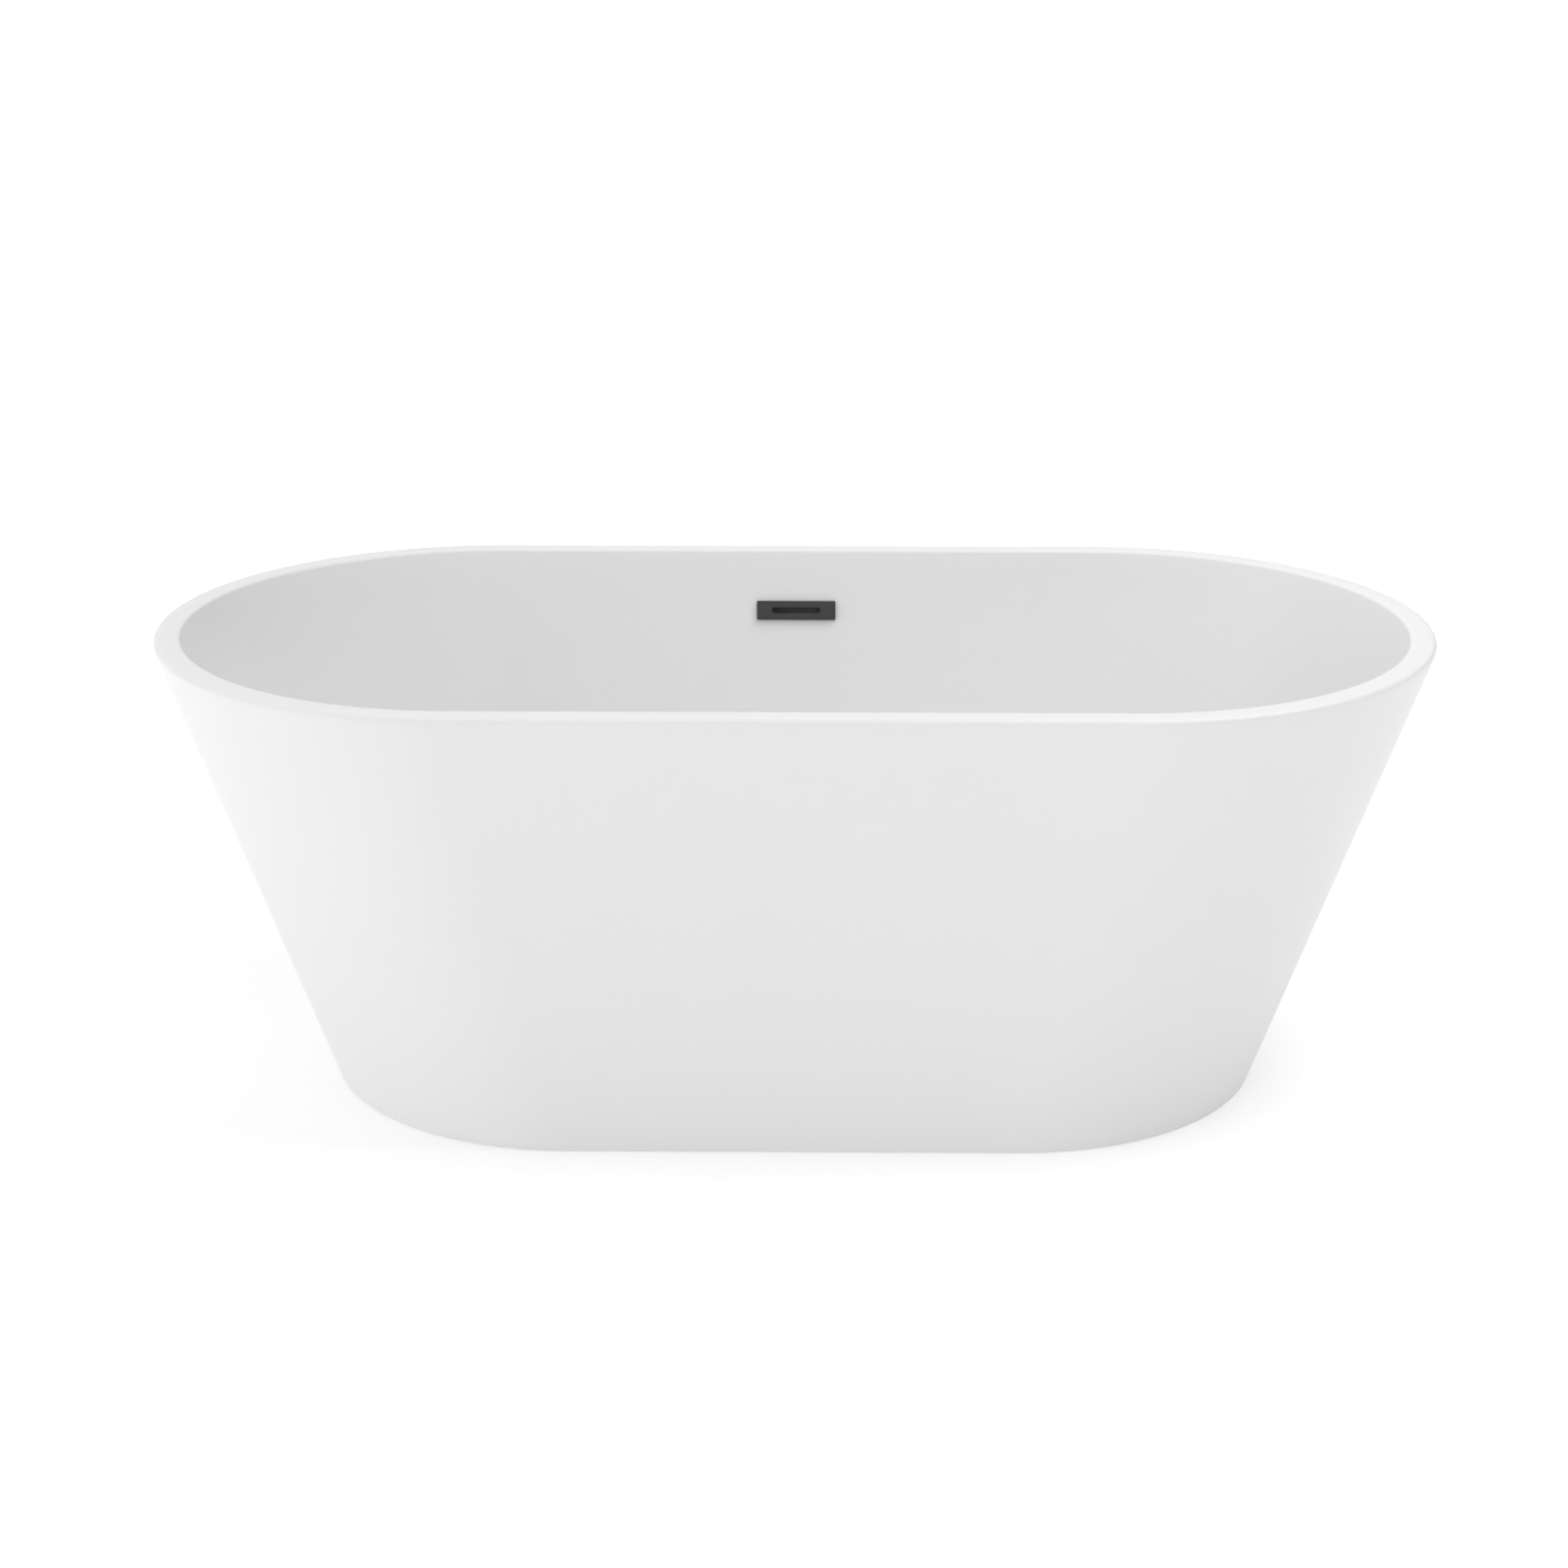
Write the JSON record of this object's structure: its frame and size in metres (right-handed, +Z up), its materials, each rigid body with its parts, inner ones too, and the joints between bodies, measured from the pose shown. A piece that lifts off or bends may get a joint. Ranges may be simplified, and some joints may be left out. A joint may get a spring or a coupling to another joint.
{
  "type": "freestanding bathtub",
  "caption": "Oval double-skin freestanding bathtub with a flat rim, slot overflow, push-to-open centre drain and adjustable feet.",
  "frame": {"origin": "on the floor under the middle of the tub", "axes": "+X along the length, +Y towards the long side that carries the overflow, +Z up"},
  "size_m": [1.6, 0.8, 0.58],
  "materials": {
    "white_acrylic": "white sanitary acrylic, satin gloss",
    "fibreglass": "sprayed glass-fibre and resin, rough",
    "bonding_paste": "cured resin paste",
    "plywood": "birch plywood, unsealed",
    "galvanised_steel": "hot-dip galvanised, spangled",
    "zinc_plated_steel": "bright zinc plate",
    "rubber": "moulded black rubber",
    "matte_black_trim": "matte black powder coat",
    "white_pvc": "moulded white PVC, satin",
    "grey_polypropylene": "moulded grey polypropylene",
    "brass": "machined brass"
  },
  "bodies": {
    "root": {"basin_shell": "white_acrylic", "skirt_shell": "white_acrylic", "basin_laminate": "fibreglass", "skirt_laminate": "fibreglass", "rim_bond_bead": "bonding_paste", "base_board": "plywood", "skirt_block_front_left": "plywood", "skirt_block_back_left": "plywood", "skirt_block_front_right": "plywood", "skirt_block_back_right": "plywood", "frame_rail_front": "galvanised_steel", "frame_rail_back": "galvanised_steel", "cross_bar_left": "galvanised_steel", "cross_bar_right": "galvanised_steel", "skirt_bracket_front_left": "galvanised_steel", "skirt_bracket_back_left": "galvanised_steel", "skirt_bracket_front_right": "galvanised_steel", "skirt_bracket_back_right": "galvanised_steel", "board_screw_front_left": "zinc_plated_steel", "board_screw_back_left": "zinc_plated_steel", "board_screw_front_right": "zinc_plated_steel", "board_screw_back_right": "zinc_plated_steel", "foot_jam_nut_front_left": "zinc_plated_steel", "foot_weld_nut_front_left": "zinc_plated_steel", "foot_jam_nut_back_left": "zinc_plated_steel", "foot_weld_nut_back_left": "zinc_plated_steel", "foot_jam_nut_front_right": "zinc_plated_steel", "foot_weld_nut_front_right": "zinc_plated_steel", "foot_jam_nut_back_right": "zinc_plated_steel", "foot_weld_nut_back_right": "zinc_plated_steel", "overflow_screw_left": "zinc_plated_steel", "overflow_screw_right": "zinc_plated_steel", "cartridge_spring": "zinc_plated_steel", "overflow_seal": "rubber", "drain_gasket": "rubber", "drain_washer": "rubber", "overflow_cover": "matte_black_trim", "overflow_carrier": "matte_black_trim", "drain_flange": "matte_black_trim", "overflow_housing": "grey_polypropylene", "overflow_pipe": "white_pvc", "overflow_pipe_nut": "white_pvc", "drain_lock_nut": "white_pvc", "drain_tee": "white_pvc", "tailpiece": "white_pvc", "tailpiece_nut": "white_pvc", "click_cartridge": "brass"},
    "stopper": {"stopper_cap": "matte_black_trim", "stopper_seal": "rubber", "stopper_stem": "brass"},
    "pad_front_left": {"foot_pad_front_left": "rubber"},
    "stud_front_left": {"foot_stud_front_left": "zinc_plated_steel"},
    "pad_back_left": {"foot_pad_back_left": "rubber"},
    "stud_back_left": {"foot_stud_back_left": "zinc_plated_steel"},
    "pad_front_right": {"foot_pad_front_right": "rubber"},
    "stud_front_right": {"foot_stud_front_right": "zinc_plated_steel"},
    "pad_back_right": {"foot_pad_back_right": "rubber"},
    "stud_back_right": {"foot_stud_back_right": "zinc_plated_steel"}
  },
  "joints": [
    {"name": "stopper_slide", "type": "slide", "parent": "root", "child": "stopper", "axis": [0, 0, 1], "range_m": [0, 0.009], "deforming": ["cartridge_spring"]},
    {"name": "foot_height_front_left", "type": "slide", "parent": "root", "child": "pad_front_left", "axis": [0, 0, -1], "range_m": [0, 0.02]},
    {"name": "foot_turn_front_left", "type": "hinge", "parent": "pad_front_left", "child": "stud_front_left", "pos_m": [-0.4, -0.21406, 0], "axis": [0, 0, -1], "range_deg": [0, 4800]},
    {"name": "foot_height_back_left", "type": "slide", "parent": "root", "child": "pad_back_left", "axis": [0, 0, -1], "range_m": [0, 0.02]},
    {"name": "foot_turn_back_left", "type": "hinge", "parent": "pad_back_left", "child": "stud_back_left", "pos_m": [-0.4, 0.21406, 0], "axis": [0, 0, -1], "range_deg": [0, 4800]},
    {"name": "foot_height_front_right", "type": "slide", "parent": "root", "child": "pad_front_right", "axis": [0, 0, -1], "range_m": [0, 0.02]},
    {"name": "foot_turn_front_right", "type": "hinge", "parent": "pad_front_right", "child": "stud_front_right", "pos_m": [0.4, -0.21406, 0], "axis": [0, 0, -1], "range_deg": [0, 4800]},
    {"name": "foot_height_back_right", "type": "slide", "parent": "root", "child": "pad_back_right", "axis": [0, 0, -1], "range_m": [0, 0.02]},
    {"name": "foot_turn_back_right", "type": "hinge", "parent": "pad_back_right", "child": "stud_back_right", "pos_m": [0.4, 0.21406, 0], "axis": [0, 0, -1], "range_deg": [0, 4800]}
  ],
  "couplings": [
    {"joint": "foot_turn_front_left", "follows": "foot_height_front_left", "rad_per_m": 4188.8},
    {"joint": "foot_turn_back_left", "follows": "foot_height_back_left", "rad_per_m": 4188.8},
    {"joint": "foot_turn_front_right", "follows": "foot_height_front_right", "rad_per_m": 4188.8},
    {"joint": "foot_turn_back_right", "follows": "foot_height_back_right", "rad_per_m": 4188.8}
  ]
}
